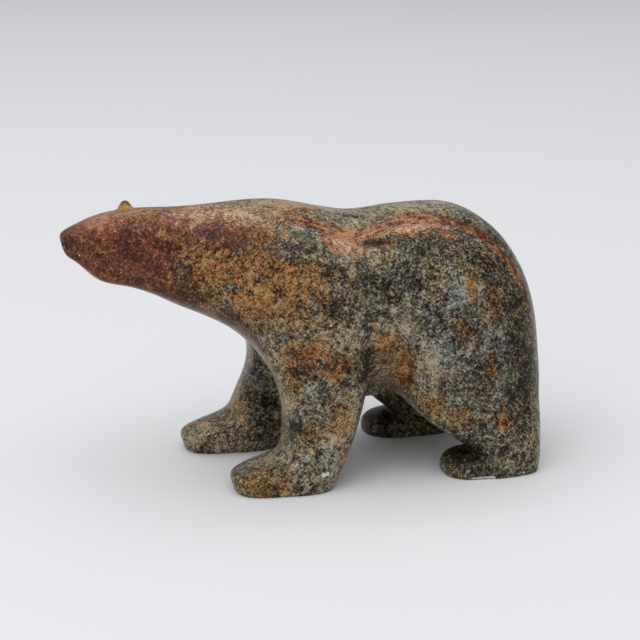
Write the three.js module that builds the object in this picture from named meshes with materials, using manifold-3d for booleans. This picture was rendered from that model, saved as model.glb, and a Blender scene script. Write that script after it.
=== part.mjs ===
// A walking bear carved from one block of soapstone: one solid, about 200 mm long.
// Millimetres, +Z up. The bear faces -X, its left side is towards -Y, and it stands on its four
// soles at z = 0, with the origin below the middle of its box.
//
// The stone's skin is where a field of distances is zero. The trunk is a run of rounded sections
// along X, and each leg a run of rounded sections along Z. Soft blends run them together, as a
// carver rounds every inside corner, and the soles are then sawn flat.

import * as THREE from 'three';
import { mergeVertices } from 'three/addons/utils/BufferGeometryUtils.js';
import Module from 'manifold-3d';

// Driving dimensions

// The middle of the box, measured from the spine's own frame.
const BOX_MIDDLE = { x: 0.54, y: -1.06 };

// Trunk sections from the nose to the rump: top and bottom, half width, height of the widest line,
// and how square the section is (2 is an ellipse).
const TRUNK = [
  { x: -101, top: 104.6, bottom: 98.6, halfWidth: 8, widestAt: 101, squareness: 3.4 },
  { x: -94, top: 107.6, bottom: 95.4, halfWidth: 9.6, widestAt: 100.5, squareness: 3.5 },
  { x: -87, top: 110.5, bottom: 88.9, halfWidth: 12, widestAt: 98, squareness: 3.5 },
  { x: -74, top: 113.2, bottom: 83.8, halfWidth: 14.5, widestAt: 96, squareness: 3.1 },
  { x: -52, top: 113.2, bottom: 73.3, halfWidth: 18.5, widestAt: 91, squareness: 2.5 },
  { x: -30, top: 114, bottom: 61.4, halfWidth: 27, widestAt: 82, squareness: 2.3 },
  { x: -14, top: 114.2, bottom: 47, halfWidth: 33.5, widestAt: 74, squareness: 2.2 },
  { x: 2, top: 111.6, bottom: 36, halfWidth: 36, widestAt: 68, squareness: 2.2 },
  { x: 20, top: 107.8, bottom: 28.8, halfWidth: 34.5, widestAt: 64, squareness: 2.35 },
  { x: 38, top: 108.9, bottom: 29, halfWidth: 35.8, widestAt: 60, squareness: 2.4 },
  { x: 56, top: 109.6, bottom: 23, halfWidth: 38.8, widestAt: 48, squareness: 2.4 },
  { x: 76, top: 109.6, bottom: 12, halfWidth: 39.5, widestAt: 44, squareness: 2.3 },
  { x: 100, top: 109.6, bottom: 6, halfWidth: 39.5, widestAt: 44, squareness: 2.25 },
];
// The widest line is softened over this height above and below it.
const WIDEST_BLEND = 25;
// The rump closes the trunk off from this station on, over this length, squarer in plan.
const RUMP = { from: 52.5, length: 47.6, squareness: 3 };

// The legs on the right (+Y) stand further forward, as in a stride.
const FORE_STRIDE = { reach: 10.6, low: 6, high: 56 };
const HIND_STRIDE = { reach: 18, low: 7, high: 52, halfChange: 12, trunkFrom: 20, trunkTo: 65 };

// Leg sections by height: front and rear edge, half width, and the middle's distance from the spine.
const FORE_LEG = {
  heights: [0, 10, 20, 30, 45, 60, 80, 105],
  front: [-14, -14.5, -15, -14.6, -17.5, -24, -31, -36],
  rear: [3.8, 9.4, 14, 17.4, 21.2, 23.5, 24, 22],
  halfWidth: [11.6, 12.5, 12.8, 13.2, 14, 15.5, 15.5, 12],
  offset: [27, 27, 26.5, 25.5, 23.5, 20, 14, 8],
  squareness: 3,
  fadeTop: 100,
  fadeLength: 40,
};
const HIND_LEG = {
  heights: [0, 8, 16, 24, 32, 42, 56, 90],
  front: [67, 66, 56.5, 45.2, 38.6, 36, 37, 38],
  rear: [94, 94.8, 95.4, 95.8, 96, 94.8, 90, 79],
  halfWidth: [13, 13.5, 14, 15.2, 17.2, 17.6, 15.5, 13],
  offset: [27, 27, 26, 24.3, 20.8, 18.3, 16, 14],
  squareness: 2.8,
  fadeTop: 80,
  fadeLength: 20,
};
// The left hind leg splays out a little more, and this share of it is left at each height above.
const HIND_SPLAY = 2.5;
const SPLAY_SHARE = [1, 1, 0.8, 0.6, 0.2, 0, 0, 0];

// A fore paw is a wedge: an upright oval in plan, drawn in towards the sole, under a top that rises
// from the toes to the ankle and falls away to both sides.
const FORE_PAW = { x: -15.8, y: 27, halfLength: 21.4, halfWidth: 13.2, squareness: 2.7 };
const FORE_PAW_SOLE = { share: 0.9, from: -3, to: 8 };
const FORE_PAW_TOP = { toes: -36.5, height: 8, rise: 0.3, fall: 0.014 };

// A hind paw is an oval block, longer than the leg above it, with its middle above the sole.
const HIND_PAW = { x: 72.6, y: 27, z: 2.4, halfSizes: [20, 13.5, 7.4], squareness: 2.6 };

// The arch under the body, between the left and right legs.
const ARCH = { halfWidth: 13.5, z: -4, height: 34, squareness: 2.6 };

// The recess in each flank, between the fore leg and the thigh: how deep it is, and where it starts
// and is full from the front, from the rear, from below and from the spine outwards.
const FLANK_RECESS = { depth: 5, front: [9, 22], rear: [32, 43], height: [36, 66], side: [10, 22] };

// How far each joint of two forms is rounded out.
const BLEND = {
  arch: 10,
  foreLeg: 13,
  forePaw: 10,
  forePawTop: 4.5,
  hindLeg: 11,
  hindPaw: 3,
  nose: 3,
  noseBevel: 2.5,
};

// The head: the flat end of the nose, the bevels beside it, the nostrils and the two ear nubs.
const NOSE_END = { x: -98.3, middle: 101, lean: 0.22 };
const NOSE_BEVEL = { x: -93.4, y: 9.4, across: 0.66, along: 0.75 };
const NOSTRIL = { x: -98.4, y: 3.2, z: 101.8, radii: [1.1, 0.9, 1.2] };
const EARS = [
  { x: -71.3, y: 8, z: 110.1, radii: [3.8, 2.9, 5.2], tilt: -0.15 },
  { x: -72.5, y: -8.2, z: 109.5, radii: [4.4, 3.4, 3.2], tilt: 0.15 },
];

// The hollow in the left side of the loin, a shallow dent along the back.
const LOIN_HOLLOW = { x: 19, z: 98.5, length: 11, height: 4.5, depth: 1.3, rise: 0.12 };

// The lattice on which the skin is worked out: finer on the head and the paws.
const LATTICE = [
  [{ from: -102, to: -64, step: 2.5 }, { from: -64, to: -48, step: 3.6 }, { from: -48, to: 104, step: 5 }],
  [{ from: -48, to: -16, step: 4.8 }, { from: -16, to: 16, step: 3.2 }, { from: 16, to: 48, step: 4.8 }],
  [{ from: -6.5, to: 19.5, step: 3.25 }, { from: 19.5, to: 78, step: 5.2 }, { from: 78, to: 120, step: 3.4 }],
];
// The legs run this far below the soles before they are sawn off.
const SAW_ALLOWANCE = 4;

const STONE = { color: 0x6b5441, roughness: 0.38, metalness: 0 };

// Curves and blends

// A natural cubic spline through the given points, level beyond its two ends.
function spline(stations, values) {
  const last = stations.length - 1;
  const gap = stations.slice(1).map((station, i) => station - stations[i]);
  const bend = new Array(last + 1).fill(0);
  const carry = new Array(last + 1).fill(0);
  for (let i = 1; i < last; i += 1) {
    const kink = (values[i + 1] - values[i]) / gap[i] - (values[i] - values[i - 1]) / gap[i - 1];
    const weight = 2 * (gap[i - 1] + gap[i]) - gap[i - 1] * carry[i - 1];
    carry[i] = gap[i] / weight;
    bend[i] = (6 * kink - gap[i - 1] * bend[i - 1]) / weight;
  }
  for (let i = last - 1; i > 0; i -= 1) {
    bend[i] -= carry[i] * bend[i + 1];
  }
  return (position) => {
    const s = THREE.MathUtils.clamp(position, stations[0], stations[last]);
    let i = 0;
    while (i < last - 1 && s > stations[i + 1]) {
      i += 1;
    }
    const a = (stations[i + 1] - s) / gap[i];
    const b = 1 - a;
    const curl = ((a ** 3 - a) * bend[i] + (b ** 3 - b) * bend[i + 1]) * gap[i] ** 2 / 6;
    return a * values[i] + b * values[i + 1] + curl;
  };
}

// The lower of two distances, with the inside corner between them filled over the given width.
function softMin(a, b, width) {
  const overlap = Math.max(width - Math.abs(a - b), 0) / width;
  return Math.min(a, b) - overlap ** 3 * width / 6;
}

function softMax(a, b, width) {
  return -softMin(-a, -b, width);
}

// Rises from 0 at low to 1 at high, level at both ends.
function fade(value, low, high) {
  return THREE.MathUtils.smootherstep(value, low, high);
}

// A power of a ratio, and its slope, rounded off near zero so that no section has a flat spot.
const ROUND_OFF = 0.12;

function roundPower(ratio, exponent) {
  return (ratio ** 2 + ROUND_OFF ** 2) ** (exponent / 2) - ROUND_OFF ** exponent;
}

function roundSlope(ratio, exponent) {
  return exponent * ratio * (ratio ** 2 + ROUND_OFF ** 2) ** (exponent / 2 - 1);
}

// Distance to an oval: the powers of offset over half size add up to one on its skin.
function oval(offsets, halfSizes, squareness) {
  let sum = 1e-9;
  let slopes = 0;
  offsets.forEach((offset, i) => {
    const ratio = offset / halfSizes[i];
    sum += roundPower(ratio, squareness);
    slopes += (roundSlope(ratio, squareness) / halfSizes[i]) ** 2;
  });
  const radius = sum ** (1 / squareness);
  const slope = Math.sqrt(slopes) * radius / sum / squareness;
  return (radius - 1) / Math.max(slope, 1e-6);
}

// The bear's forms

const stations = TRUNK.map((section) => section.x);
const [topAt, bottomAt, halfWidthAt, widestAt, squarenessAt] = [
  'top', 'bottom', 'halfWidth', 'widestAt', 'squareness',
].map((name) => spline(stations, TRUNK.map((section) => section[name])));

// How far the right hind leg has come forward at a point.
function hindStride(y, z) {
  const rightSide = fade(y, -HIND_STRIDE.halfChange, HIND_STRIDE.halfChange);
  return HIND_STRIDE.reach * rightSide * (1 - fade(z, HIND_STRIDE.low, HIND_STRIDE.high));
}

// Distance to the head, neck, body and rump.
function trunk(x, y, z) {
  const along = x + hindStride(y, z) * fade(x, HIND_STRIDE.trunkFrom, HIND_STRIDE.trunkTo);
  const middle = widestAt(along);
  const above = fade(z, middle - WIDEST_BLEND, middle + WIDEST_BLEND);
  const halfHeight = (middle - bottomAt(along)) * (1 - above) + (topAt(along) - middle) * above;
  const halfWidth = halfWidthAt(along);
  const square = squarenessAt(along);

  const endRatio = Math.max(along - RUMP.from, 0) / RUMP.length;
  const sideRatio = y / halfWidth;
  const heightRatio = (z - middle) / halfHeight;
  const planSum = roundPower(endRatio, RUMP.squareness) + roundPower(sideRatio, RUMP.squareness);
  const plan = Math.max(planSum, 1e-12);
  const sum = plan ** (square / RUMP.squareness) + Math.max(roundPower(heightRatio, square), 1e-12);
  const radius = sum ** (1 / square);

  const planShare = plan ** (square / RUMP.squareness - 1) * square / RUMP.squareness;
  const slope = Math.hypot(
    planShare * roundSlope(endRatio, RUMP.squareness) / RUMP.length,
    planShare * roundSlope(sideRatio, RUMP.squareness) / halfWidth,
    roundSlope(heightRatio, square) / halfHeight,
  );
  return (radius - 1) / Math.max(slope * radius / sum / square, 1e-6);
}

// One leg: a function of height for each edge of its sections.
function legSections(leg, splay) {
  const offsets = leg.offset.map((offset, i) => offset + splay * SPLAY_SHARE[i]);
  return {
    front: spline(leg.heights, leg.front),
    rear: spline(leg.heights, leg.rear),
    halfWidth: spline(leg.heights, leg.halfWidth),
    offset: spline(leg.heights, offsets),
    squareness: leg.squareness,
    fadeTop: leg.fadeTop,
    fadeLength: leg.fadeLength,
  };
}

function legDistance(sections, side, x, y, z) {
  const front = sections.front(z);
  const rear = sections.rear(z);
  const fromMiddle = [x - (front + rear) / 2, y - side * sections.offset(z)];
  const distance = oval(fromMiddle, [(rear - front) / 2, sections.halfWidth(z)], sections.squareness);
  return softMax(distance, z - sections.fadeTop, sections.fadeLength);
}

function forePawDistance(side, x, y, z) {
  const { share, from, to } = FORE_PAW_SOLE;
  const drawnIn = share + (1 - share) * fade(z, from, to);
  const out = y - side * FORE_PAW.y;
  const halfSizes = [FORE_PAW.halfLength * drawnIn, FORE_PAW.halfWidth * drawnIn];
  const plan = oval([x - FORE_PAW.x, out], halfSizes, FORE_PAW.squareness);
  const { toes, height, rise, fall } = FORE_PAW_TOP;
  const top = (z - height - rise * (x - toes) + fall * out ** 2) / Math.hypot(1, rise);
  return softMax(plan, top, BLEND.forePawTop);
}

function hindPawDistance(side, splay, x, y, z) {
  const fromMiddle = [x - HIND_PAW.x, y - side * (HIND_PAW.y + splay), z - HIND_PAW.z];
  return oval(fromMiddle, HIND_PAW.halfSizes, HIND_PAW.squareness);
}

const LEFT = -1;
const RIGHT = 1;
const SIDES = [LEFT, RIGHT].map((side) => ({
  side,
  foreReach: side === RIGHT ? FORE_STRIDE.reach : 0,
  splay: side === LEFT ? HIND_SPLAY : 0,
}));
SIDES.forEach((limbs) => {
  limbs.fore = legSections(FORE_LEG, 0);
  limbs.hind = legSections(HIND_LEG, limbs.splay);
});

function arch(y, z) {
  return oval([y, z - ARCH.z], [ARCH.halfWidth, ARCH.height], ARCH.squareness);
}

// How far the dent in the left side of the loin goes in at a point.
function loinHollow(x, y, z) {
  const along = (x - LOIN_HOLLOW.x) / LOIN_HOLLOW.length;
  const across = (z - LOIN_HOLLOW.z - LOIN_HOLLOW.rise * (x - LOIN_HOLLOW.x)) / LOIN_HOLLOW.height;
  return LOIN_HOLLOW.depth * Math.exp(-(along ** 2) - across ** 2) * fade(-y, 4, 14);
}

// How far a flank is cut in between the fore leg and the thigh.
function flankRecess(x, y, z) {
  const run = fade(x, ...FLANK_RECESS.front) * (1 - fade(x, ...FLANK_RECESS.rear));
  const low = 1 - fade(z, ...FLANK_RECESS.height);
  return FLANK_RECESS.depth * run * low * fade(Math.abs(y), ...FLANK_RECESS.side);
}

// How far a point lies outside the flat end of the nose and the bevels beside it.
function noseEnd(x, z) {
  return NOSE_END.x - x - NOSE_END.lean * (z - NOSE_END.middle);
}

function noseBevel(x, y) {
  return NOSE_BEVEL.across * (Math.abs(y) - NOSE_BEVEL.y) - NOSE_BEVEL.along * (x - NOSE_BEVEL.x);
}

// Distance to the whole bear, less its ears, with the legs still too long.
function bear(x, y, z) {
  let distance = trunk(x, y, z) + flankRecess(x, y, z);
  distance = softMax(distance, -arch(y, z), BLEND.arch);
  SIDES.forEach(({ side, foreReach, splay, fore, hind }) => {
    const foreShift = foreReach * (1 - fade(z, FORE_STRIDE.low, FORE_STRIDE.high));
    const foreLeg = legDistance(fore, side, x + foreShift, y, z);
    const forePaw = forePawDistance(side, x + foreReach, y, z);
    distance = softMin(distance, softMin(foreLeg, forePaw, BLEND.forePaw), BLEND.foreLeg);

    const hindX = x + hindStride(y, z);
    const hindLeg = legDistance(hind, side, hindX, y, z);
    const hindPaw = hindPawDistance(side, splay, hindX, y, z);
    distance = softMin(distance, softMin(hindLeg, hindPaw, BLEND.hindPaw), BLEND.hindLeg);
  });
  distance = softMax(distance, noseEnd(x, z), BLEND.nose);
  distance = softMax(distance, noseBevel(x, y), BLEND.noseBevel);
  distance += loinHollow(x, y, z);
  return Math.max(distance, -SAW_ALLOWANCE - z);
}

// The skin

function latticeAxis(stretches) {
  const lines = [stretches[0].from];
  stretches.forEach(({ from, to, step }) => {
    const count = Math.round((to - from) / step);
    for (let i = 1; i <= count; i += 1) {
      lines.push(from + (to - from) * i / count);
    }
  });
  return lines;
}

// Moves a point along the field's slope until it lies on the skin.
function settle(point, field) {
  const reach = 0.05;
  for (let step = 0; step < 4; step += 1) {
    const { x, y, z } = point;
    const slope = new THREE.Vector3(
      field(x + reach, y, z) - field(x - reach, y, z),
      field(x, y + reach, z) - field(x, y - reach, z),
      field(x, y, z + reach) - field(x, y, z - reach),
    ).divideScalar(2 * reach);
    point.addScaledVector(slope, -field(x, y, z) / Math.max(slope.lengthSq(), 0.1));
  }
}

// The corners of a lattice cell, and the pairs of them that share an edge.
const CORNERS = Array.from({ length: 8 }, (_, i) => [i & 1, (i >> 1) & 1, (i >> 2) & 1]);
const EDGES = CORNERS.flatMap((_, a) => [1, 2, 4].filter((bit) => !(a & bit)).map((bit) => [a, a | bit]));

// The skin as triangles: one point in each cell that the skin passes through, drawn onto the skin,
// and two triangles around each lattice edge that it crosses.
function skin(field, axes) {
  const size = axes.map((axis) => axis.length);
  const place = (cell) => (cell[0] * size[1] + cell[1]) * size[2] + cell[2];
  const node = (cell) => new THREE.Vector3(axes[0][cell[0]], axes[1][cell[1]], axes[2][cell[2]]);
  const eachCell = (limits, visit) => {
    for (let i = 0; i < limits[0]; i += 1) {
      for (let j = 0; j < limits[1]; j += 1) {
        for (let k = 0; k < limits[2]; k += 1) {
          visit([i, j, k]);
        }
      }
    }
  };
  const values = new Float64Array(size[0] * size[1] * size[2]);
  eachCell(size, (cell) => {
    values[place(cell)] = field(axes[0][cell[0]], axes[1][cell[1]], axes[2][cell[2]]);
  });

  const points = [];
  const pointOf = new Map();
  eachCell(size.map((count) => count - 1), (cell) => {
    const corners = CORNERS.map((corner) => corner.map((step, axis) => cell[axis] + step));
    const heights = corners.map((corner) => values[place(corner)]);
    const crossed = EDGES.filter(([a, b]) => (heights[a] < 0) !== (heights[b] < 0));
    if (crossed.length === 0) {
      return;
    }
    const point = new THREE.Vector3();
    crossed.forEach(([a, b]) => {
      point.add(node(corners[a]).lerp(node(corners[b]), heights[a] / (heights[a] - heights[b])));
    });
    point.divideScalar(crossed.length);
    settle(point, field);
    pointOf.set(place(cell), points.length);
    points.push(point);
  });

  const triangles = [];
  [0, 1, 2].forEach((axis) => {
    const across = (axis + 1) % 3;
    const up = (axis + 2) % 3;
    eachCell(size.map((count, i) => (i === axis ? count - 1 : count)), (cell) => {
      const next = cell.map((line, i) => line + (i === axis ? 1 : 0));
      const inside = values[place(cell)] < 0;
      if (inside === values[place(next)] < 0) {
        return;
      }
      const ring = [[-1, -1], [0, -1], [0, 0], [-1, 0]].map(([u, v]) => {
        const around = [...cell];
        around[across] += u;
        around[up] += v;
        return pointOf.get(place(around));
      });
      const [a, b, c, d] = inside ? ring : ring.reverse();
      if (points[a].distanceTo(points[c]) < points[b].distanceTo(points[d])) {
        triangles.push(a, b, c, a, c, d);
      } else {
        triangles.push(a, b, d, b, c, d);
      }
    });
  });
  const geometry = new THREE.BufferGeometry().setFromPoints(points);
  geometry.setIndex(triangles);
  return geometry;
}

// Joins and cuts

const wasm = await Module();
wasm.setup();

function solid(geometry) {
  const bare = geometry.clone();
  bare.deleteAttribute('normal');
  bare.deleteAttribute('uv');
  const merged = mergeVertices(bare);
  return new wasm.Manifold(new wasm.Mesh({
    numProp: 3,
    vertProperties: new Float32Array(merged.attributes.position.array),
    triVerts: new Uint32Array(merged.index.array),
  }));
}

function geometryOf(body) {
  const mesh = body.getMesh();
  const geometry = new THREE.BufferGeometry();
  geometry.setAttribute('position', new THREE.BufferAttribute(mesh.vertProperties, 3));
  geometry.setIndex(new THREE.BufferAttribute(mesh.triVerts, 1));
  return geometry;
}

function ovoid({ x, y, z, radii, tilt = 0 }) {
  return solid(new THREE.SphereGeometry(1, 14, 9).scale(...radii).rotateX(tilt).translate(x, y, z));
}

// The block below the soles that the saw takes off.
const underfoot = solid(new THREE.BoxGeometry(260, 140, 40).translate(0, 0, -20));
const ears = EARS.map(ovoid);
const nostrils = [LEFT, RIGHT].map((side) => ovoid({ ...NOSTRIL, y: side * NOSTRIL.y }));

let carving = solid(skin(bear, LATTICE.map(latticeAxis)));
ears.forEach((ear) => {
  carving = carving.add(ear);
});
nostrils.forEach((nostril) => {
  carving = carving.subtract(nostril);
});
carving = carving.subtract(underfoot);

const carvingGeometry = geometryOf(carving).translate(-BOX_MIDDLE.x, -BOX_MIDDLE.y, 0);
const carvingMesh = new THREE.Mesh(carvingGeometry, new THREE.MeshStandardMaterial(STONE));
carvingMesh.name = 'bear_carving';

const group = new THREE.Group();
group.name = 'soapstone_bear';
group.add(carvingMesh);

export default group;
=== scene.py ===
"""A walking bear carved from one block of polished, mottled soapstone, as a Blender scene.

The skin of the carving is where a field of distances is zero. The trunk is a run of rounded sections
along X, each leg a run of rounded sections along Z, and soft blends run them together. The fine relief
that a hand leaves in stone is added to that skin. The stone's colours follow its mineral zones, with
painted shade in creases and hollows and on sides turned from the light, and painted highlights on top.
"""

import functools
import math

import bpy
import numpy as np
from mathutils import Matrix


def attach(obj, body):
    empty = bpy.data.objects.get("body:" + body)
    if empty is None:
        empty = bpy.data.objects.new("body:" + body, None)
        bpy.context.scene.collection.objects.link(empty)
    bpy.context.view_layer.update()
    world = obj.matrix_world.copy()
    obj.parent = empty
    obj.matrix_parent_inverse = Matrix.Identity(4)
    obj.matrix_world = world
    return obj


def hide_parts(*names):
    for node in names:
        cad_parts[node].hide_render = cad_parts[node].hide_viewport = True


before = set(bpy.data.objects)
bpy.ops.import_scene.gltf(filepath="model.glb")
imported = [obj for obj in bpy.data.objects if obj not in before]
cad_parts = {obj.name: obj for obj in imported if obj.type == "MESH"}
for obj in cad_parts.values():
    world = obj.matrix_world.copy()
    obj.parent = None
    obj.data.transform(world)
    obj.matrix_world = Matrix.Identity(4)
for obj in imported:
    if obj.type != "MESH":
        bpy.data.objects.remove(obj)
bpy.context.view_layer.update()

bl_info = {
    "name": "Soapstone Bear",
    "version": (1, 0, 0),
    "blender": (4, 5, 0),
    "location": "View3D > Sidebar > Bear",
    "description": "Carves a walking bear in mottled soapstone and sets up its studio",
    "category": "Add Mesh",
}

CARVING_NODE = "bear_carving"
BODY = "root"
MM = 0.001

# Form of the carving, in millimetres of the spine's own frame. The bear faces -X.

# The middle of the carving's box, which the finished piece is centred on.
BOX_MIDDLE = np.array((0.54, -1.06, 0.0))

# Trunk sections from the nose to the rump. A squareness of 2 is an ellipse.
TRUNK = {
    "x": (-101, -94, -87, -74, -52, -30, -14, 2, 20, 38, 56, 76, 100),
    "top": (104.6, 107.6, 110.5, 113.2, 113.2, 114, 114.2, 111.6, 107.8, 108.9, 109.6, 109.6, 109.6),
    "bottom": (98.6, 95.4, 88.9, 83.8, 73.3, 61.4, 47, 36, 28.8, 29, 23, 12, 6),
    "half_width": (8, 9.6, 12, 14.5, 18.5, 27, 33.5, 36, 34.5, 35.8, 38.8, 39.5, 39.5),
    "widest_at": (101, 100.5, 98, 96, 91, 82, 74, 68, 64, 60, 48, 44, 44),
    "squareness": (3.4, 3.5, 3.5, 3.1, 2.5, 2.3, 2.2, 2.2, 2.35, 2.4, 2.4, 2.3, 2.25),
}
# The widest line is softened over this height above and below it.
WIDEST_BLEND = 25
# The rump closes the trunk off from this station on, over this length, squarer in plan.
RUMP = {"start": 52.5, "length": 47.6, "squareness": 3}

# The legs on the right (+Y) stand further forward, as in a stride.
FORE_STRIDE = {"reach": 10.6, "low": 6, "high": 56}
HIND_STRIDE = {"reach": 18, "low": 7, "high": 52, "half_change": 12, "trunk_from": 20, "trunk_to": 65}

# Leg sections by height: front and rear edge, half width, and the middle's distance from the spine.
FORE_LEG = {
    "heights": (0, 10, 20, 30, 45, 60, 80, 105),
    "front": (-14, -14.5, -15, -14.6, -17.5, -24, -31, -36),
    "rear": (3.8, 9.4, 14, 17.4, 21.2, 23.5, 24, 22),
    "half_width": (11.6, 12.5, 12.8, 13.2, 14, 15.5, 15.5, 12),
    "offset": (27, 27, 26.5, 25.5, 23.5, 20, 14, 8),
    "splay": (0, 0, 0, 0, 0, 0, 0, 0),
    "squareness": 3,
    "fade_top": 100,
    "fade_length": 40,
}
HIND_LEG = {
    "heights": (0, 8, 16, 24, 32, 42, 56, 90),
    "front": (67, 66, 56.5, 45.2, 38.6, 36, 37, 38),
    "rear": (94, 94.8, 95.4, 95.8, 96, 94.8, 90, 79),
    "half_width": (13, 13.5, 14, 15.2, 17.2, 17.6, 15.5, 13),
    "offset": (27, 27, 26, 24.3, 20.8, 18.3, 16, 14),
    "splay": (2.5, 2.5, 2, 1.5, 0.5, 0, 0, 0),
    "squareness": 2.8,
    "fade_top": 80,
    "fade_length": 20,
}

# A fore paw is a wedge: an upright oval in plan, drawn in towards the sole, under a top that rises
# from the toes to the ankle and falls away to both sides.
FORE_PAW = {"middle": (-15.8, 27), "half": (21.4, 13.2), "squareness": 2.7}
FORE_PAW_SOLE = {"share": 0.9, "low": -3, "high": 8}
FORE_PAW_TOP = {"toes": -36.5, "height": 8, "rise": 0.3, "fall": 0.014}

# A hind paw is an oval block. The left one splays out a little more.
HIND_PAW = {"middle": (72.6, 27, 2.4), "half": (20, 13.5, 7.4), "splay": 2.5, "squareness": 2.6}

# The arch under the body, between the left and right legs.
ARCH = {"z": -4, "half": (13.5, 34), "squareness": 2.6}

# The recess in each flank, between the fore leg and the thigh: where it starts and is full from the
# front, from the rear, from below and from the spine outwards.
FLANK_RECESS = {"front": (9, 22), "rear": (32, 43), "height": (36, 66), "side": (10, 22)}

# How far each joint of two forms is rounded out.
BLEND = {
    "arch": 10,
    "fore_leg": 13,
    "fore_paw": 10,
    "fore_paw_top": 4.5,
    "hind_leg": 11,
    "hind_paw": 3,
    "nose": 3,
    "nose_bevel": 2.5,
    "ear": 3,
    "nostril": 0.6,
    "sole": 0.8,
}

# The head: the flat end of the nose, the bevels beside it, the nostrils and the two ear nubs.
NOSE_END = {"x": -98.3, "middle": 101, "lean": 0.22}
NOSE_BEVEL = {"x": -93.4, "y": 9.4, "across": 0.66, "along": 0.75}
NOSTRIL = {"middle": (-98.4, 3.2, 101.8), "half": (1.1, 0.9, 1.2)}
EARS = (
    {"middle": (-71.3, 8, 110.6), "half": (2.9, 2.2, 4.9), "tilt": 0.15},
    {"middle": (-72.5, -8.2, 109.6), "half": (2.9, 2.2, 3.4), "tilt": -0.15},
)

# The hollow in the left side of the loin, a shallow dent along the back.
LOIN_HOLLOW = {"x": 19, "z": 98.5, "length": 11, "height": 4.5, "rise": 0.12, "side": (4, 14)}

# A power's ratio is rounded off near zero so that no section has a flat spot.
ROUND_OFF = 0.12

# The lattice on which the skin is worked out: stretches of each axis and how fine each is,
# as a share of the skin step. It is finer on the head.
LATTICE = (
    ((-101, -62, 0.68), (-62, 102, 1.08)),
    ((-45, 45, 1.0),),
    ((-3, 10, 0.9), (10, 84, 1.12), (84, 119, 0.85)),
)

# Fine relief, in millimetres of the finished carving's frame.

# Slow waves that a rasp and wet paper leave: a direction and a wavelength each.
HAND_WAVES = (
    ((0.90, 0.30, 0.31), 23.0),
    ((-0.31, 0.80, 0.51), 17.0),
    ((0.22, -0.41, 0.88), 19.0),
    ((0.58, 0.52, -0.63), 13.0),
    ((-0.71, 0.12, 0.69), 29.0),
)
# Fissures in the stone, and the creases that a gouge left at the flank's recess: the points each runs
# through, its half width and its depth.
FISSURES = (
    (((20, -21, 100), (25.5, -21.8, 99), (31, -22.7, 98.8)), 0.8, 0.9),
    (((18, -15.3, 104.2), (22, -17, 103), (27, -18.8, 101.9)), 0.6, 0.25),
    (((17.5, -34.2, 60), (19, -31.5, 51), (20, -28, 43)), 3.0, 1.5),
    (((31, -32.6, 59), (33.5, -30.8, 51.5), (37, -29.3, 42.5)), 3.2, 1.6),
)
# Chips: a middle, a radius and a depth.
CHIPS = (
    ((-1.8, -39.2, 8.4), 1.1, 0.5),
    ((-0.3, -39.4, 8.8), 1.0, 0.4),
    ((60.5, -41.0, 0), 1.3, 0.6),
    ((63.5, -41.4, 0), 1.5, 0.8),
    ((66.5, -41.6, 0), 1.5, 0.9),
    ((69.5, -41.8, 0), 1.3, 0.6),
    ((84, -41.5, 0.8), 1.4, 0.7),
    ((-86, -11.3, 98.5), 1.3, 0.5),
)
# Pits: how many, the seed of their places, the least and largest radius, and how far one reaches.
PIT_COUNT = 160
PIT_SEED = 11
PIT_RADII = (0.7, 1.2)
PIT_REACH = 4


# Properties


def length_property(name, description, default):
    """A length, in metres."""
    return bpy.props.FloatProperty(name=name, description=description, default=default, unit="LENGTH")


def angle_property(name, description, degrees):
    """An angle, given in degrees."""
    angle = math.radians(degrees)
    return bpy.props.FloatProperty(name=name, description=description, default=angle, subtype="ANGLE")


def share_property(name, description, default):
    """A share between 0 and 1."""
    return bpy.props.FloatProperty(
        name=name, description=description, default=default, min=0.0, max=1.0, subtype="FACTOR"
    )


def colour_property(name, description, default):
    """A colour, as linear red, green and blue."""
    return bpy.props.FloatVectorProperty(
        name=name, description=description, default=default, min=0.0, max=1.0, size=3, subtype="COLOR"
    )


class BearForm(bpy.types.PropertyGroup):
    """Sizes of the carving's fine form."""

    skin_step: length_property("Skin step", "Spacing of the lattice under the skin", 1.0 * MM)
    recess_depth: length_property("Flank recess depth", "Depth between fore leg and thigh", 5.0 * MM)
    hollow_depth: length_property("Loin hollow depth", "Depth of the dent in the left side", 1.3 * MM)
    wave_height: length_property("Hand wave height", "Height of the waves that polishing leaves", 0.11 * MM)
    pit_depth: length_property("Pit depth", "Depth of the small pits in the skin", 0.16 * MM)


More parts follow.
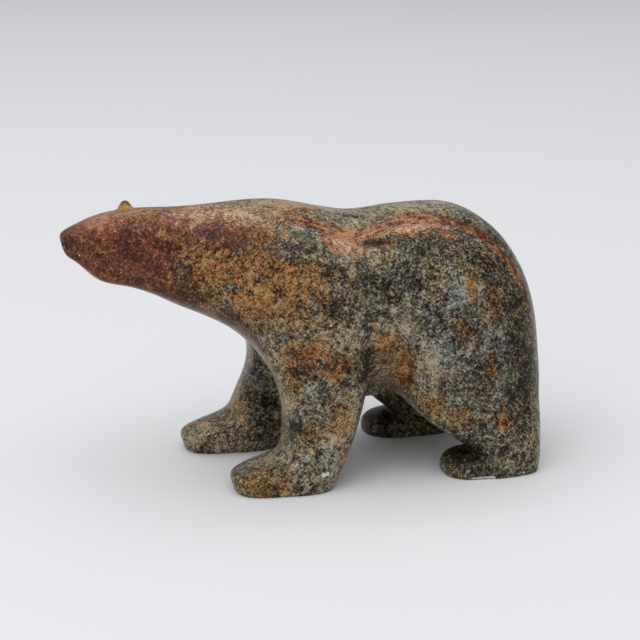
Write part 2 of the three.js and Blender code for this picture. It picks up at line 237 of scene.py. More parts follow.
class StoneFinish(bpy.types.PropertyGroup):
    """Colours and polish of the soapstone."""

    black: colour_property("Black", "Darkest grains and cracks", (0.008, 0.007, 0.004))
    slate: colour_property("Slate", "Dark grains of the grey stone", (0.038, 0.032, 0.021))
    grey_green: colour_property("Grey green", "Main mineral of flank and thigh", (0.158, 0.130, 0.070))
    blue_grey: colour_property("Blue grey", "Cooler part of the grey stone", (0.114, 0.112, 0.098))
    pale: colour_property("Pale", "Pale yellow-green flecks", (0.450, 0.405, 0.270))
    silver: colour_property("Silver", "Pale cool flecks", (0.370, 0.375, 0.330))
    umber: colour_property("Umber", "Dark grains of the golden stone", (0.062, 0.029, 0.010))
    ochre: colour_property("Ochre", "Golden stone of the shoulder", (0.225, 0.134, 0.046))
    orange: colour_property("Orange", "Rusty patches", (0.345, 0.128, 0.036))
    straw: colour_property("Straw", "Pale flecks of the golden stone", (0.450, 0.285, 0.120))
    wine: colour_property("Wine", "Darkest red stone", (0.042, 0.015, 0.011))
    maroon: colour_property("Maroon", "Red-brown stone of the head", (0.132, 0.036, 0.017))
    plum: colour_property("Plum", "Purple part of the red stone", (0.126, 0.040, 0.031))
    rust: colour_property("Rust", "Brown part of the red stone", (0.140, 0.040, 0.010))
    mauve: colour_property("Mauve", "Paler red stone of the head and seam", (0.255, 0.092, 0.050))
    clay: colour_property("Clay", "Tan stone of the seam", (0.330, 0.165, 0.072))
    rose: colour_property("Rose", "Pink stone of the neck's top and the saddle", (0.470, 0.265, 0.155))
    cream: colour_property("Cream", "Palest pink stone", (0.680, 0.530, 0.400))
    white: colour_property("White", "White specks and fresh chips", (0.780, 0.750, 0.680))
    polish: share_property("Polish", "Roughness of the polished skin", 0.27)
    sheen: share_property("Sheen", "Strength of the polished skin's reflections", 0.13)
    grain: length_property("Grain", "Size of the mineral grains", 1.0 * MM)


NOT_COLOURS = ("polish", "sheen", "grain")
STONE_COLOURS = [name for name in StoneFinish.__annotations__ if name not in NOT_COLOURS]


class StudioSetup(bpy.types.PropertyGroup):
    """The pale floor, the soft light and the camera."""

    floor_colour: colour_property("Floor", "Colour of the pale floor", (0.80, 0.80, 0.82))
    target: bpy.props.FloatVectorProperty(
        name="Target",
        description="Point that the camera looks at",
        subtype="TRANSLATION",
        unit="LENGTH",
        default=(6.46 * MM, -1.94 * MM, 62.5 * MM),
    )
    azimuth: angle_property("Azimuth", "How far round from the bear's left side the camera is", -15.0)
    elevation: angle_property("Elevation", "How far the camera looks down", 16.5)
    distance: length_property("Distance", "From the camera to its target", 0.7)
    lens: bpy.props.FloatProperty(
        name="Lens",
        description="Focal length of the camera",
        unit="CAMERA",
        default=94.5,
    )


# Studio, in metres and watts

FLOOR_HALF = 5.0
FLOOR_ROUGHNESS = 0.6
FLOOR_SHEEN = 0.2
AIR_COLOUR = (0.95, 0.97, 1.0, 1.0)
AIR_STRENGTH = 0.37
# Soft lights: a place, a width and a power each.
SOFTBOXES = {
    "overhead_softbox": ((-0.35, -0.2, 2.3), 4.0, 68.0),
    "side_softbox": ((-1.2, -1.0, 0.9), 0.8, 3.0),
}
# The soft lights face a point at this height over the origin.
SOFTBOX_AIM = 0.06
SENSOR_WIDTH = 36.0
CLIP_START = 0.01


# Curves and blends


def spline(stations, values, at):
    """Natural cubic spline, level beyond its ends.

    Between two stations it is the straight line through their values plus a cubic whose second slopes
    are those that make the first slopes agree at every inner station.
    """
    stations = np.asarray(stations, float)
    values = np.asarray(values, float)
    gap = np.diff(stations)
    system = np.eye(len(stations))
    kinks = np.zeros(len(stations))
    inner = np.arange(1, len(stations) - 1)
    system[inner, inner - 1] = gap[:-1]
    system[inner, inner] = 2 * (gap[:-1] + gap[1:])
    system[inner, inner + 1] = gap[1:]
    kinks[inner] = 6 * np.diff(np.diff(values) / gap)
    bend = np.linalg.solve(system, kinks)
    at = np.clip(at, stations[0], stations[-1])
    i = np.clip(np.searchsorted(stations, at) - 1, 0, len(gap) - 1)
    a = (stations[i + 1] - at) / gap[i]
    b = 1 - a
    curl = ((a**3 - a) * bend[i] + (b**3 - b) * bend[i + 1]) * gap[i] ** 2 / 6
    return a * values[i] + b * values[i + 1] + curl


def soft_min(a, b, width):
    """The lower of two distances, less a cubic that fills the inside corner over the given width."""
    overlap = np.maximum(width - np.abs(a - b), 0) / width
    return np.minimum(a, b) - overlap**3 * width / 6


def soft_max(a, b, width):
    """The higher of two distances, with the outside corner rounded over the given width."""
    return -soft_min(-a, -b, width)


def fade(value, low, high):
    """Rises from 0 at low to 1 at high as 6 t^5 - 15 t^4 + 10 t^3, level at both ends."""
    t = np.clip((value - low) / (high - low), 0, 1)
    return t**3 * (10 - 15 * t + 6 * t * t)


def round_power(ratio, exponent):
    """A power of a ratio, with the ratio rounded off near zero."""
    return (ratio**2 + ROUND_OFF**2) ** (exponent / 2) - ROUND_OFF**exponent


def round_slope(ratio, exponent):
    """The slope of round_power."""
    return exponent * ratio * (ratio**2 + ROUND_OFF**2) ** (exponent / 2 - 1)


def oval(offsets, halves, squareness):
    """Distance to an oval on whose skin the powers of offset over half size add up to one."""
    total = 1e-9
    slopes = 0
    for offset, half in zip(offsets, halves):
        ratio = offset / half
        total = total + round_power(ratio, squareness)
        slopes = slopes + (round_slope(ratio, squareness) / half) ** 2
    radius = total ** (1 / squareness)
    slope = np.sqrt(slopes) * radius / total / squareness
    return (radius - 1) / np.maximum(slope, 1e-6)


# The bear's forms, as distances in the spine's own frame


def hind_stride(y, z):
    """How far the right hind leg has come forward at a point."""
    right_side = fade(y, -HIND_STRIDE["half_change"], HIND_STRIDE["half_change"])
    return HIND_STRIDE["reach"] * right_side * (1 - fade(z, HIND_STRIDE["low"], HIND_STRIDE["high"]))


def trunk(x, y, z):
    """Distance to head, neck, body and rump.

    A section's plan (rump end and half width) and its height are two powers that add up to one.
    """
    along = x + hind_stride(y, z) * fade(x, HIND_STRIDE["trunk_from"], HIND_STRIDE["trunk_to"])
    names = ("top", "bottom", "half_width", "widest_at", "squareness")
    top, bottom, half_width, middle, square = (spline(TRUNK["x"], TRUNK[name], along) for name in names)
    above = fade(z, middle - WIDEST_BLEND, middle + WIDEST_BLEND)
    half_height = (middle - bottom) * (1 - above) + (top - middle) * above

    rump = RUMP["squareness"]
    end_ratio = np.maximum(along - RUMP["start"], 0) / RUMP["length"]
    side_ratio = y / half_width
    height_ratio = (z - middle) / half_height
    plan = np.maximum(round_power(end_ratio, rump) + round_power(side_ratio, rump), 1e-12)
    total = plan ** (square / rump) + np.maximum(round_power(height_ratio, square), 1e-12)
    radius = total ** (1 / square)

    plan_share = plan ** (square / rump - 1) * square / rump
    slope_x = plan_share * round_slope(end_ratio, rump) / RUMP["length"]
    slope_y = plan_share * round_slope(side_ratio, rump) / half_width
    slope_z = round_slope(height_ratio, square) / half_height
    slope = np.sqrt(slope_x**2 + slope_y**2 + slope_z**2) * radius / total / square
    return (radius - 1) / np.maximum(slope, 1e-6)


def leg(sections, side, splayed, x, y, z):
    """Distance to a leg: an oval section at each height, whose edges are splines of the height."""
    names = ("front", "rear", "half_width", "offset", "splay")
    front, rear, half_width, offset, splay = (
        spline(sections["heights"], sections[name], z) for name in names
    )
    from_middle = (x - (front + rear) / 2, y - side * (offset + splayed * splay))
    distance = oval(from_middle, ((rear - front) / 2, half_width), sections["squareness"])
    return soft_max(distance, z - sections["fade_top"], sections["fade_length"])


def fore_paw(side, x, y, z):
    """Distance to a fore paw: an upright oval, smaller at the sole, cut off by the sloping top."""
    share = FORE_PAW_SOLE["share"]
    drawn_in = share + (1 - share) * fade(z, FORE_PAW_SOLE["low"], FORE_PAW_SOLE["high"])
    middle_x, middle_y = FORE_PAW["middle"]
    out = y - side * middle_y
    halves = [half * drawn_in for half in FORE_PAW["half"]]
    plan = oval((x - middle_x, out), halves, FORE_PAW["squareness"])
    rise = FORE_PAW_TOP["rise"]
    top = z - FORE_PAW_TOP["height"] - rise * (x - FORE_PAW_TOP["toes"]) + FORE_PAW_TOP["fall"] * out**2
    return soft_max(plan, top / math.hypot(1, rise), BLEND["fore_paw_top"])


def hind_paw(side, splayed, x, y, z):
    """Distance to a hind paw: one oval block."""
    middle_x, middle_y, middle_z = HIND_PAW["middle"]
    offsets = (x - middle_x, y - side * (middle_y + splayed * HIND_PAW["splay"]), z - middle_z)
    return oval(offsets, HIND_PAW["half"], HIND_PAW["squareness"])


def ear(form, x, y, z):
    """Distance to an ear nub: an upright oval that leans to its side as it rises."""
    middle_x, middle_y, middle_z = form["middle"]
    up = z - middle_z
    return oval((x - middle_x, y - middle_y - form["tilt"] * up, up), form["half"], 2)


def loin_hollow(x, y, z):
    """Share of the loin's dent at a point: a bell along the back and across it, on the left side."""
    along = (x - LOIN_HOLLOW["x"]) / LOIN_HOLLOW["length"]
    rise = LOIN_HOLLOW["rise"] * (x - LOIN_HOLLOW["x"])
    across = (z - LOIN_HOLLOW["z"] - rise) / LOIN_HOLLOW["height"]
    return np.exp(-(along**2) - across**2) * fade(-y, *LOIN_HOLLOW["side"])


def flank_recess(x, y, z):
    """Share of the flank's recess at a point: full between fore leg and thigh, low on both sides."""
    run = fade(x, *FLANK_RECESS["front"]) * (1 - fade(x, *FLANK_RECESS["rear"]))
    return run * (1 - fade(z, *FLANK_RECESS["height"])) * fade(np.abs(y), *FLANK_RECESS["side"])


def bear(x, y, z, form):
    """Distance to the whole carving, cut flat at the soles."""
    arch = oval((y, z - ARCH["z"]), ARCH["half"], ARCH["squareness"])
    distance = trunk(x, y, z) + flank_recess(x, y, z) * form.recess_depth / MM
    distance = soft_max(distance, -arch, BLEND["arch"])
    hind_x = x + hind_stride(y, z)
    for side, reach, splayed in ((-1, 0, 1), (1, FORE_STRIDE["reach"], 0)):
        shift = reach * (1 - fade(z, FORE_STRIDE["low"], FORE_STRIDE["high"]))
        fore = leg(FORE_LEG, side, splayed, x + shift, y, z)
        fore = soft_min(fore, fore_paw(side, x + reach, y, z), BLEND["fore_paw"])
        distance = soft_min(distance, fore, BLEND["fore_leg"])
        hind = leg(HIND_LEG, side, splayed, hind_x, y, z)
        hind = soft_min(hind, hind_paw(side, splayed, hind_x, y, z), BLEND["hind_paw"])
        distance = soft_min(distance, hind, BLEND["hind_leg"])

    nose_end = NOSE_END["x"] - x - NOSE_END["lean"] * (z - NOSE_END["middle"])
    distance = soft_max(distance, nose_end, BLEND["nose"])
    beside_nose = NOSE_BEVEL["across"] * (np.abs(y) - NOSE_BEVEL["y"])
    behind_nose = NOSE_BEVEL["along"] * (x - NOSE_BEVEL["x"])
    distance = soft_max(distance, beside_nose - behind_nose, BLEND["nose_bevel"])
    for nub in EARS:
        distance = soft_min(distance, ear(nub, x, y, z), BLEND["ear"])
    distance = distance + loin_hollow(x, y, z) * form.hollow_depth / MM
    nostril_x, nostril_y, nostril_z = NOSTRIL["middle"]
    nostril = oval((x - nostril_x, np.abs(y) - nostril_y, z - nostril_z), NOSTRIL["half"], 2)
    distance = soft_max(distance, -nostril, BLEND["nostril"])
    return soft_max(distance, -z, BLEND["sole"])


# The skin


def lattice_axis(stretches, step):
    """Lattice lines along one axis, with each stretch in equal steps, near its share of the step."""
    lines = [np.array([stretches[0][0]], float)]
    for start, end, share in stretches:
        count = round((end - start) / (step * share))
        lines.append(np.linspace(start, end, count + 1)[1:])
    return np.concatenate(lines)


def skin(field, axes):
    """The skin of a field as points and four-sided faces.

    Each lattice cell that the skin passes through holds one point, the mean of the places where the
    skin crosses the cell's edges. Each lattice edge that it crosses has one face, through the points
    of the four cells around that edge.
    """
    grid = np.meshgrid(*axes, indexing="ij", sparse=True)
    heights = np.broadcast_to(field(*grid), [len(axis) for axis in axes])
    inside = heights < 0
    cells = [len(axis) - 1 for axis in axes]
    corners = np.array([(i, j, k) for i in (0, 1) for j in (0, 1) for k in (0, 1)])

    def at_corner(array, corner):
        return array[tuple(slice(step, step + count) for step, count in zip(corner, cells))]

    within = sum(at_corner(inside, corner).astype(np.int8) for corner in corners)
    crossed_cells = (within > 0) & (within < len(corners))
    cell = np.argwhere(crossed_cells)
    point_of = np.full(crossed_cells.shape, -1)
    point_of[crossed_cells] = np.arange(len(cell))

    sums = np.zeros((len(cell), 3))
    counts = np.zeros((len(cell), 1))
    for axis in range(3):
        step = np.eye(3, dtype=int)[axis]
        for corner in corners[corners[:, axis] == 0]:
            low = at_corner(heights, corner)[crossed_cells]
            high = at_corner(heights, corner + step)[crossed_cells]
            crossed = ((low < 0) != (high < 0))[:, None]
            share = (low / np.where(low == high, 1, low - high))[:, None]
            sums += np.where(crossed, corner + share * step, 0)
            counts += crossed
    place = sums / counts
    starts = np.stack([axes[i][cell[:, i]] for i in range(3)], axis=1)
    widths = np.stack([np.diff(axes[i])[cell[:, i]] for i in range(3)], axis=1)
    points = starts + place * widths

    faces = []
    for axis in range(3):
        across, up = (axis + 1) % 3, (axis + 2) % 3
        ahead = np.moveaxis(inside, axis, 0)
        edges = np.argwhere(np.moveaxis(ahead[:-1] != ahead[1:], 0, axis))
        rising = inside[tuple(edges.T)]
        ring = []
        for u, v in ((-1, -1), (0, -1), (0, 0), (-1, 0)):
            around = edges.copy()
            around[:, across] += u
            around[:, up] += v
            ring.append(point_of[tuple(around.T)])
        ring = np.stack(ring, axis=1)
        faces.append(np.where(rising[:, None], ring, ring[:, ::-1]))
    return points, np.concatenate(faces)


def slope_of(field, points, reach=0.05):
    """The field's slope at points, from its change over a short reach each way along each axis."""
    steps = np.eye(3) * reach
    changes = [field(*(points + step).T) - field(*(points - step).T) for step in steps]
    return np.stack(changes, axis=1) / (2 * reach)


def settle(field, points, rounds=4):
    """Moves points along the field's slope until they lie on the skin."""
    for _ in range(rounds):
        slope = slope_of(field, points)
        steep = np.maximum((slope**2).sum(axis=1), 0.1)
        points = points - (field(*points.T) / steep)[:, None] * slope
    return points


# Fine relief, as depths at points of the finished carving's frame


def hand_waves(points):
    """The mean of a few slow sine waves, one along each direction."""
    waves = [np.sin(2 * np.pi * points @ np.array(way) / length + length) for way, length in HAND_WAVES]
    return np.mean(waves, axis=0)


def distance_to_run(points, run):
    """Distance to a line of straight stretches."""
    nearest = np.full(len(points), np.inf)
    for start, end in zip(np.array(run[:-1]), np.array(run[1:])):
        way = end - start
        share = np.clip((points - start) @ way / (way @ way), 0, 1)
        nearest = np.minimum(nearest, np.linalg.norm(points - start - share[:, None] * way, axis=1))
    return nearest


def bell(distance, reach):
    """1 at no distance, falling as the bell curve over the reach."""
    return np.exp(-((distance / reach) ** 2))


def relief(points, form):
    """How far the skin is cut in at each point, in millimetres, by waves, fissures, chips and pits."""
    depth = form.wave_height / MM * hand_waves(points)
    for run, half_width, deep in FISSURES:
        depth += deep * bell(distance_to_run(points, run), half_width)
    for middle, radius, deep in CHIPS:
        depth += deep * bell(np.linalg.norm(points - np.array(middle), axis=1), radius)
    draw = np.random.default_rng(PIT_SEED)
    for middle in points[draw.choice(len(points), PIT_COUNT, replace=False)]:
        near = np.abs(points - middle).max(axis=1) < PIT_REACH
        distance = np.linalg.norm(points[near] - middle, axis=1)
        depth[near] += form.pit_depth / MM * bell(distance, draw.uniform(*PIT_RADII))
    return depth


# Mineral zones, as shares at points of the finished carving's frame, in millimetres

# The red seam along the back and down the rump: its line and its half width, where it starts, comes in
# on the left side and ends low on the rump, and where it turns down.
SEAM = {
    "x": (-11, 0, 11, 16, 24, 32, 41, 52, 61, 72, 80, 86, 90, 94),
    "z": (110, 107.4, 103, 101.8, 102.6, 104.6, 106, 105.8, 103.3, 97.8, 89, 79, 66, 45),
    "half": (1.6, 2, 2.6, 2.8, 2.4, 2, 2, 2.1, 2, 1.9, 1.7, 1.5, 1.3, 1.1),
    "start": (-20, -6),
    "side": (2, 10),
    "end": (42, 62),
    "turn": (60, 90),
}
# Zones of each mineral, of cooler grey ("blue") and of lighter or darker tone ("tone"): a middle, half
# sizes and a strength each. A strength below zero keeps the mineral out. Most tone zones are lighter or
# darker stone, but some are painted shade or painted highlights, and two pink zones are a painted
# highlight and a painted reflection; each of these is marked below.
ZONES = {
    "red": (
        ((-86, 0, 97), (17, 40, 20), 1.2),
        ((-99, 0, 101), (5, 14, 14), 0.6),
        ((-66, 0, 92), (12, 30, 16), 0.9),
        ((-52, -6, 80), (15, 26, 5), 0.9),
        ((-37, -10, 70), (9, 24, 5), 0.9),
        ((-28, -16, 60), (5, 20, 8), 0.8),
        ((-23, -20, 46), (3, 18, 9), 0.5),
        ((-33, 0, 103.5), (20, 30, 3.5), 1.3),
        ((-50, 0, 107), (26, 30, 8), 0.9),
        ((33, -30, 49), (6, 8, 10), 0.32),
        ((-47, -18, 88), (9, 12, 7), 0.3),
    ),
    "gold": (
        ((-99, 0, 102), (4.2, 14, 14), 0.2),
        ((-84, 0, 97), (14, 40, 18), -0.15),
        ((-71, 8, 115), (4, 4, 4), 1.0),
        ((-62, 0, 114), (16, 24, 4), 0.35),
        ((0, 0, 113), (40, 20, 4), 0.4),
        ((45, 0, 60), (45, 60, 60), 0.05),
        ((-10, -20, 60), (30, 30, 50), 0.08),
        ((-46, 0, 93), (9, 40, 8), 0.75),
        ((-55, -15, 104), (13, 8, 4), 0.25),
        ((-34, 0, 92), (15, 50, 12), 0.7),
        ((-18, 0, 90), (16, 60, 15), 0.68),
        ((-8, -28, 85), (14, 20, 13), 0.35),
        ((-26, -24, 76), (10, 16, 6), 0.6),
        ((-8, -36, 59), (8, 12, 5), 0.9),
        ((4, -36, 53), (7, 12, 5), 0.8),
        ((5, -37, 32), (5, 12, 7), 0.6),
        ((-5, -37, 26), (5, 12, 5), 0.6),
        ((-12, -34, 44), (4, 12, 10), 0.45),
        ((-26, -37, 5), (11, 14, 5), 0.9),
        ((28, -31, 54), (5.5, 14, 10), 0.8),
        ((35, -29, 46), (3.5, 12, 9), 0.9),
        ((25, -33, 60), (5, 8, 4), 0.6),
        ((62, -32, 83), (3, 8, 6), 0.8),
        ((57, -37, 65), (4, 8, 5), 0.7),
        ((72, -34, 74), (4, 8, 6), 0.6),
        ((69, -38, 48), (3, 8, 9), 0.7),
        ((56, -38, 28), (5, 8, 4), 0.8),
        ((45, -34, 32), (5, 8, 4), 0.7),
        ((75, -40, 25), (5, 8, 4), 0.7),
        ((38, -20, 102), (7, 8, 2), 0.8),
        ((28, -22, 98.5), (7, 6, 2), 0.7),
        ((9, -24, 98), (9, 8, 4), 0.45),
        ((-38, 20, 8), (9, 16, 6), 0.35),
        ((-24, 21, 22), (6, 12, 8), 0.3),
        ((-8, -26, 99.5), (9, 8, 3.5), -0.8),
        ((-16, 28, 80), (18, 16, 14), 0.5),
        ((10, 35, 58), (12, 12, 12), 0.45),
        ((62, 36, 72), (12, 14, 9), 0.5),
        ((32, 34, 88), (14, 14, 5), 0.4),
        ((97, 12, 78), (8, 12, 10), 0.4),
        ((-33, 0, 103.5), (18, 30, 3), -0.25),
        ((-24, -26, 90), (4, 6, 2.5), -0.7),
        ((-35, -24, 85), (3, 6, 2), -0.7),
    ),
    "pink": (
        ((-48, -5, 111), (22, 14, 5), 0.6),
        ((-22, -12, 109.5), (14, 8, 3), 0.5),
        ((9, -20, 102), (9, 10, 4.5), 0.9),
        ((15, -23, 98), (11, 10, 5), 0.45),
        ((0, 0, 113), (40, 16, 4), 0.2),
        # A pale pink strip along the near edge of the loin's ridge: painted highlight where the ridge
        # catches the overhead light.
        ((40, -17, 103.5), (13, 6, 1.8), 1.3),
        ((55, -22, 100.5), (4, 6, 2.5), 0.8),
        # A pink band along the belly's underside between fore leg and thigh: painted reflection of the pale
        # floor.
        ((31, -16, 36), (7, 10, 3), 0.5),
    ),
    "blue": (
        ((57, -34, 76), (9, 10, 8), 0.30),
        ((47, -36, 56), (10, 12, 12), 0.20),
        ((68, -36, 50), (12, 14, 24), 0.22),
        ((26, -31, 82), (10, 10, 8), 0.20),
    ),
    "tone": (
        ((-8, -26, 99.5), (9, 8, 3.5), -0.12),
        ((-24, -26, 90), (4, 6, 2.5), -0.16),
        ((-35, -24, 85), (3, 6, 2), -0.16),
        ((-75, -12, 105), (3, 8, 5), -0.10),
        # A dark band along the fissure in the loin: partly the fissure's dark stone, partly painted shade
        # in the hollow under the ridge.
        ((25, -22, 99.3), (6, 6, 1.4), -0.65),
        ((-55, -15, 105.5), (14, 8, 4), 0.08),
        ((-33, -18, 103.5), (16, 12, 3), -0.05),
        ((-4, -7, 112), (8, 5, 2), -0.15),
        ((-18, -4, 115), (8, 4, 3), -0.12),
        ((26, -31, 82), (9, 10, 6), -0.20),
        ((44, -25, 97), (9, 8, 5), -0.24),
        ((4, -34, 77), (9, 8, 5), -0.12),
        ((72, -28, 88), (9, 12, 8), -0.20),
        # Rear of the near thigh and the lower hind leg darker: partly darker stone, partly painted shade on
        # sides turned from the light.
        ((82, -32, 50), (9, 18, 34), -0.34),
        ((68, -36, 8), (18, 16, 9), -0.14),
        ((50, -36, 42), (4, 8, 6), -0.22),
        ((63, -38, 45), (6, 8, 8), -0.22),
        ((-12, -35, 54), (5, 8, 5), -0.34),
        ((-2, -36, 57), (13, 10, 11), -0.10),
        ((0, -37, 40), (4, 8, 5), -0.24),
        ((-8, -35, 37), (8, 12, 9), 0.24),
        ((-12, -37, 8), (18, 10, 9), 0.08),
        ((-32, 20, 18), (14, 12, 16), 0.08),
        ((-12, -34, 28), (5, 8, 5), -0.28),
        # Painted shade on the top of the near hind toes, in the notch under the thigh.
        ((60, -30, 11), (8, 12, 5), -0.60),
        # Painted shade in the creases of the flank recess, beside the fore leg and along the thigh's front
        # edge.
        ((18, -32, 51), (2.5, 6, 13), -0.30),
        ((36, -30, 47), (2.5, 6, 10), -0.22),
        ((-99, 0, 102), (5, 14, 14), -0.34),
        ((-52, -16, 94), (10, 10, 10), -0.12),
        # Painted shade on the lower far hind leg and under the far side of the belly.
        ((44, 28, 14), (28, 18, 22), -0.40),
        ((42, 34, 72), (12, 12, 10), -0.18),
        ((80, 32, 55), (9, 16, 18), -0.20),
        ((98, -4, 58), (8, 14, 16), -0.16),
        ((0, 36, 42), (8, 12, 9), -0.16),
        ((56, 38, 52), (9, 12, 9), 0.12),
        # Painted shade on the inner side of the far fore leg, between the fore legs.
        ((-15, 18, 20), (6, 10, 18), -0.30),
        ((9, -35, 68), (7, 8, 8), 0.20),
        ((57, -34, 77), (7, 8, 5), 0.14),
        ((44, -36, 53), (7, 8, 8), 0.34),
        ((2, -38, 20), (5, 8, 7), 0.22),
        # Head's top plane lighter: partly paler stone, partly painted highlight.
        ((-86, 0, 111), (16, 14, 3), 0.48),
        ((-56, -6, 112), (24, 14, 5), 0.08),
        ((12, -20, 101), (10, 10, 5), 0.40),
        ((-36, -12, 109), (18, 10, 4), 0.10),
        # The pale strip along the near edge of the loin's ridge: painted highlight.
        ((40, -17, 103.5), (13, 6, 1.8), 0.30),
        # Top of the back lighter: partly paler stone, partly painted highlight.
        ((10, 0, 112), (50, 12, 5), 0.40),
        ((-28, -10, 112), (4, 6, 2), 0.25),
    ),
}


def zone_share(points, zones):
    """The sum of bells around the middles of a list of zones, each with its own half sizes."""
    total = np.zeros(len(points))
    for middle, halves, strength in zones:
        distance = np.linalg.norm((points - np.array(middle)) / np.array(halves), axis=1)
        total += strength * bell(distance, 1.0)
    return total


def seam_place(points):
    """Place along the red seam, distance across it, and the seam's share there.

    The distance across is the height above the seam's line, over the line's steepness there.
    """
    x, y, z = points.T
    line = spline(SEAM["x"], SEAM["z"], x)
    slope = (spline(SEAM["x"], SEAM["z"], x + 1) - spline(SEAM["x"], SEAM["z"], x - 1)) / 2
    across = (z - line) / np.sqrt(1 + slope**2)
    half = spline(SEAM["x"], SEAM["half"], x)
    share = bell(across, half) * fade(x, *SEAM["start"])
    share = share * fade(-y, *SEAM["side"]) * fade(z, *SEAM["end"])
    along = x - z * fade(x, *SEAM["turn"])
    return np.stack([along, across, share], axis=1)


# Marks in the stone, and painted shade at the near nostril. White specks and chips, and dark spots, have a
# middle and a radius each. The white line along the hind paw's chipped edge, and the hairline cracks, run
# between two points each.
WHITE_SPOTS = (
    ((-1.8, -39.2, 8.4), 1.3),
    ((-0.3, -39.4, 8.8), 1.2),
    ((84, -41.5, 1.2), 1.0),
    ((2, -35.5, 70.2), 0.6),
    ((29.6, -33.0, 60.6), 0.6),
    ((-37.7, -16.4, 106.5), 0.32),
    ((-50.9, -12.8, 107.6), 0.28),
    ((-93.1, -8.6, 98.5), 0.35),
    ((-38.0, 17.5, 9.2), 0.5),
)
DARK_SPOTS = (
    # The first two dark spots sit at the near nostril: painted shade in and around its hollow.
    ((-97.7, -3.6, 102.2), 1.2),
    ((-97.2, -4.2, 100.6), 0.8),
    ((-86.0, -11.3, 98.5), 1.6),
    ((-84.2, -11.6, 99.0), 0.8),
)
WHITE_LINES = (((60.0, -41.0, 0.2), (70.0, -41.8, 0.4)),)
CRACKS = (
    ((-1.7, -34.0, 79.8), (8.0, -33.3, 79.4)),
    ((2.0, -35.0, 73.8), (14.7, -33.3, 74.5)),
    ((-5.1, -35.7, 64.2), (2.0, -36.1, 64.2)),
    ((20.0, -21.0, 100.0), (31.0, -22.7, 98.8)),
    ((18.0, -15.3, 104.2), (27.0, -18.8, 101.9)),
    ((-58.0, -14.5, 102.6), (-46.0, -16.8, 104.0)),
    ((-41.0, 17.4, 8.2), (-29.0, 15.2, 10.2)),
)


# How the stone is mixed. Shares, tones and weights have no unit.

# Noises: a shift of the place, a size in millimetres, and the noise's detail, roughness and warp.
NOISES = {
    "patches": ((0, 0, 0), 15.0, 7.0, 0.66, 0.4),
    "islands": ((70, 20, 40), 10.0, 7.0, 0.68, 0.4),
    "clots": ((25, 80, 10), 4.5, 5.0, 0.7, 0.5),
    "other_clots": ((90, 5, 65), 4.0, 5.0, 0.7, 0.5),
}
# The finest noises have their sizes in grains. Whiskers lie along two directions, in degrees.
GRAIN_SHIFT = (10, 60, 30)
GRAIN_NOISE = {"size": 2.2, "detail": 5.0, "roughness": 0.85}
WHISKER_TURNS = {"rising": 40, "falling": -45}
WHISKER_STRETCH = 2.9
WHISKER_NOISE = {"size": 0.6, "detail": 2.0, "roughness": 0.6, "warp": 0.5}
WHISKER_LEVEL = 0.06
# Streaks run along the seam: its place is squeezed lengthwise first.
STREAK_SQUEEZE = (0.14, 1.0, 0.0)
STREAK_NOISE = {"size": 1.0, "detail": 4.0, "roughness": 0.62}
# The wobble that keeps spots and cracks from being round and straight.
WOBBLE = {"Scale": 0.5, "Detail": 3.0}

# Minerals over the grey stone: the weight of each noise that breaks up the mineral's zones, and the
# levels between which the mineral comes in.
MINERALS = {
    "red": ({"patches": 0.8, "clots": 0.8, "grains": 0.7}, (0.10, 0.78)),
    "gold": ({"islands": 1.2, "other_clots": 1.5, "grains": 1.0, "falling": 0.6}, (-0.06, 0.88)),
    "pink": ({"other_clots": 1.2, "grains": 1.0}, (0.22, 0.85)),
    "vein": ({"streaks": 0.7, "grains": 0.5, "clots": 0.5}, (0.26, 0.70)),
}
# Second hues within a mineral, in the same way.
WARM_GREY = ({"islands": 1.0, "patches": 0.5, "other_clots": 0.7, "grains": 0.5}, (-0.28, 0.14))
ORANGE_GOLD = ({"patches": 1.0, "other_clots": 1.5, "grains": 0.6}, (-0.18, 0.24))
RUSTY_RED = ({"islands": 1.0, "other_clots": 0.8}, (-0.14, 0.14))

# The tone runs from the darkest to the palest colour of a mineral. Red and golden stone is calmer.
TONE_LEVEL = 0.59
BROAD_TONE = {"patches": 1.25}
FINE_TONE = {"clots": 1.25, "whiskers": 3.2, "grains": 2.2}
CALM = 0.15
DARKER_BY = {"red": 0.29, "gold": 0.02, "pink": 0.27, "vein": 0.18}
STREAK_TONE = 2.0
RAMP_STEPS = ((0.02, 0.32), (0.32, 0.62), (0.62, 1.0))

# Edges of the marks, in radii of a spot or in millimetres from a line, and how strong the marks are.
DARK_SPOT_EDGE = (0.5, 1.1)
WHITE_SPOT_EDGE = (0.6, 1.0)
WHITE_LINE_EDGE = (0.8, 1.4)
CRACK_EDGE = (0.15, 0.45)
DARK_SPOT_STRENGTH = 0.85
CRACK_STRENGTH = 0.75
WHITE_STRENGTH = 0.9

# How far the polish varies with the patches, and is lost on white marks. The grains stand out a little.
PATCH_ROUGHNESS = 0.3
WHITE_ROUGHNESS = 0.25
GRAIN_BUMP = {"Strength": 0.12, "Distance": 0.1 * MM}


# Shader maths


